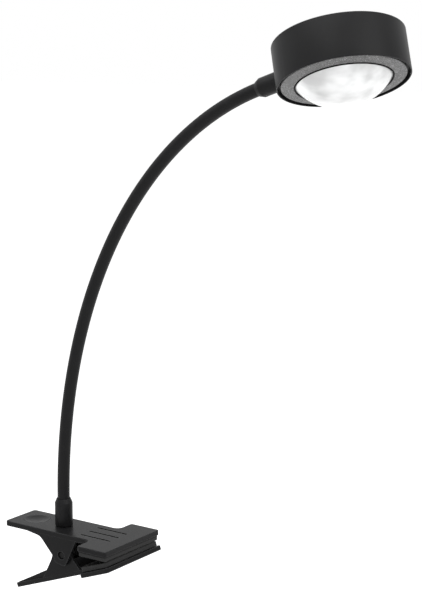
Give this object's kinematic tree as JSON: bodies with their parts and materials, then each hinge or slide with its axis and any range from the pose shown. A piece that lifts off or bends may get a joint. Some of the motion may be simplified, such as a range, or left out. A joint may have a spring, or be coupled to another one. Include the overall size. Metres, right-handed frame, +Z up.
{
  "type": "clip-on reading lamp",
  "caption": "Reading lamp on a bendable gooseneck: a spring clip with two levers and rubber jaw pads carries a round puck head with a trim ring and a domed lens.",
  "frame": {"origin": "centre of the gripping face of the upper jaw pad", "axes": "+Z up, away from the gripping face; +X out of the jaws, square to the jaw front; +Y along the clip hinge, so the neck at rest curves in the plane Y = 0"},
  "size_m": [0.3238, 0.09, 0.4306],
  "materials": {
    "moulding": "fine matte moulded black",
    "pad": "soft black rubber",
    "steel": "zinc-plated steel",
    "black_steel": "oil-blackened steel",
    "collar": "satin black anodised",
    "sleeve": "smooth matte black sleeve",
    "cable": "black cable jacket",
    "housing": "satin black powder coat",
    "grain": "grey sparkle grain",
    "rubber": "black rubber",
    "lens": "clear polished",
    "mirror": "polished",
    "board": "solder mask",
    "phosphor": "yellow phosphor",
    "aluminium": "turned"
  },
  "bodies": {
    "clip_upper": {"upper_lever": "moulding", "upper_jaw_pad": "pad", "touch_pad": "moulding", "touch_sensor": "board", "pivot_pin": "black_steel", "clip_spring": "black_steel", "base_collar": "collar", "base_washer": "steel", "base_nut": "steel", "cord_bush": "rubber", "neck_sleeve_01": "sleeve", "neck_conduit_01": "steel", "neck_cable_01": "cable"},
    "clip_lower": {"lower_lever": "moulding", "lower_jaw_pad": "pad"},
    "neck_02": {"neck_sleeve_02": "sleeve", "neck_conduit_02": "steel", "neck_cable_02": "cable"},
    "neck_03": {"neck_sleeve_03": "sleeve", "neck_conduit_03": "steel", "neck_cable_03": "cable"},
    "neck_04": {"neck_sleeve_04": "sleeve", "neck_conduit_04": "steel", "neck_cable_04": "cable"},
    "neck_05": {"neck_sleeve_05": "sleeve", "neck_conduit_05": "steel", "neck_cable_05": "cable"},
    "neck_06": {"neck_sleeve_06": "sleeve", "neck_conduit_06": "steel", "neck_cable_06": "cable"},
    "neck_07": {"neck_sleeve_07": "sleeve", "neck_conduit_07": "steel", "neck_cable_07": "cable"},
    "neck_08": {"neck_sleeve_08": "sleeve", "neck_conduit_08": "steel", "neck_cable_08": "cable"},
    "neck_09": {"neck_sleeve_09": "sleeve", "neck_conduit_09": "steel", "neck_cable_09": "cable"},
    "neck_10": {"neck_sleeve_10": "sleeve", "neck_conduit_10": "steel", "neck_cable_10": "cable", "head_collar": "collar", "swivel_washer": "steel", "swivel_nut": "steel"},
    "head": {"head_housing": "housing", "trim_ring": "grain", "lens_gasket": "rubber", "lens": "lens", "reflector": "mirror", "led_board": "board", "led_emitter": "phosphor", "heat_spreader": "aluminium", "spreader_screw_1": "steel", "spreader_screw_2": "steel", "spreader_screw_3": "steel", "driver_board": "board"}
  },
  "joints": [
    {"name": "clip_open", "type": "hinge", "parent": "clip_upper", "child": "clip_lower", "pos_m": [-0.0411, 0, -0.0095], "axis": [0, 1, 0], "range_deg": [0, 40], "stiffness_Nm_per_rad": 0.35, "springref_deg": -68.75, "deforming": ["clip_spring"]},
    {"name": "neck_flex_1", "type": "hinge", "parent": "clip_upper", "child": "neck_02", "pos_m": [-0.05035, 0, 0.0661], "axis": [0, 1, 0], "range_deg": [-16, 16]},
    {"name": "neck_sway_2", "type": "hinge", "parent": "neck_02", "child": "neck_03", "pos_m": [-0.04566, 0, 0.10323], "axis": [0.9858, 0, -0.1679], "range_deg": [-16, 16]},
    {"name": "neck_flex_3", "type": "hinge", "parent": "neck_03", "child": "neck_04", "pos_m": [-0.03773, 0, 0.13981], "axis": [0, 1, 0], "range_deg": [-16, 16]},
    {"name": "neck_sway_4", "type": "hinge", "parent": "neck_04", "child": "neck_05", "pos_m": [-0.02642, 0, 0.17548], "axis": [0.937, 0, -0.3492], "range_deg": [-16, 16]},
    {"name": "neck_flex_5", "type": "hinge", "parent": "neck_05", "child": "neck_06", "pos_m": [-0.01152, 0, 0.20981], "axis": [0, 1, 0], "range_deg": [-16, 16]},
    {"name": "neck_sway_6", "type": "hinge", "parent": "neck_06", "child": "neck_07", "pos_m": [0.00716, 0, 0.24223], "axis": [0.8346, 0, -0.5509], "range_deg": [-16, 16]},
    {"name": "neck_flex_7", "type": "hinge", "parent": "neck_07", "child": "neck_08", "pos_m": [0.02977, 0, 0.27204], "axis": [0, 1, 0], "range_deg": [-16, 16]},
    {"name": "neck_sway_8", "type": "hinge", "parent": "neck_08", "child": "neck_09", "pos_m": [0.05638, 0, 0.29833], "axis": [0.6462, 0, -0.7632], "range_deg": [-16, 16]},
    {"name": "neck_flex_9", "type": "hinge", "parent": "neck_09", "child": "neck_10", "pos_m": [0.08683, 0, 0.32003], "axis": [0, 1, 0], "range_deg": [-16, 16]},
    {"name": "head_twist", "type": "hinge", "parent": "neck_10", "child": "head", "pos_m": [0.12068, 0, 0.3359], "axis": [0.9426, 0, 0.3338], "range_deg": [-60, 60]}
  ],
  "couplings": [
    {"joint": "neck_flex_3", "follows": "neck_flex_1", "ratio": 1},
    {"joint": "neck_flex_7", "follows": "neck_flex_5", "ratio": 1},
    {"joint": "neck_flex_9", "follows": "neck_flex_5", "ratio": 1},
    {"joint": "neck_sway_4", "follows": "neck_sway_2", "ratio": 1},
    {"joint": "neck_sway_6", "follows": "neck_sway_2", "ratio": 1},
    {"joint": "neck_sway_8", "follows": "neck_sway_2", "ratio": 1}
  ]
}
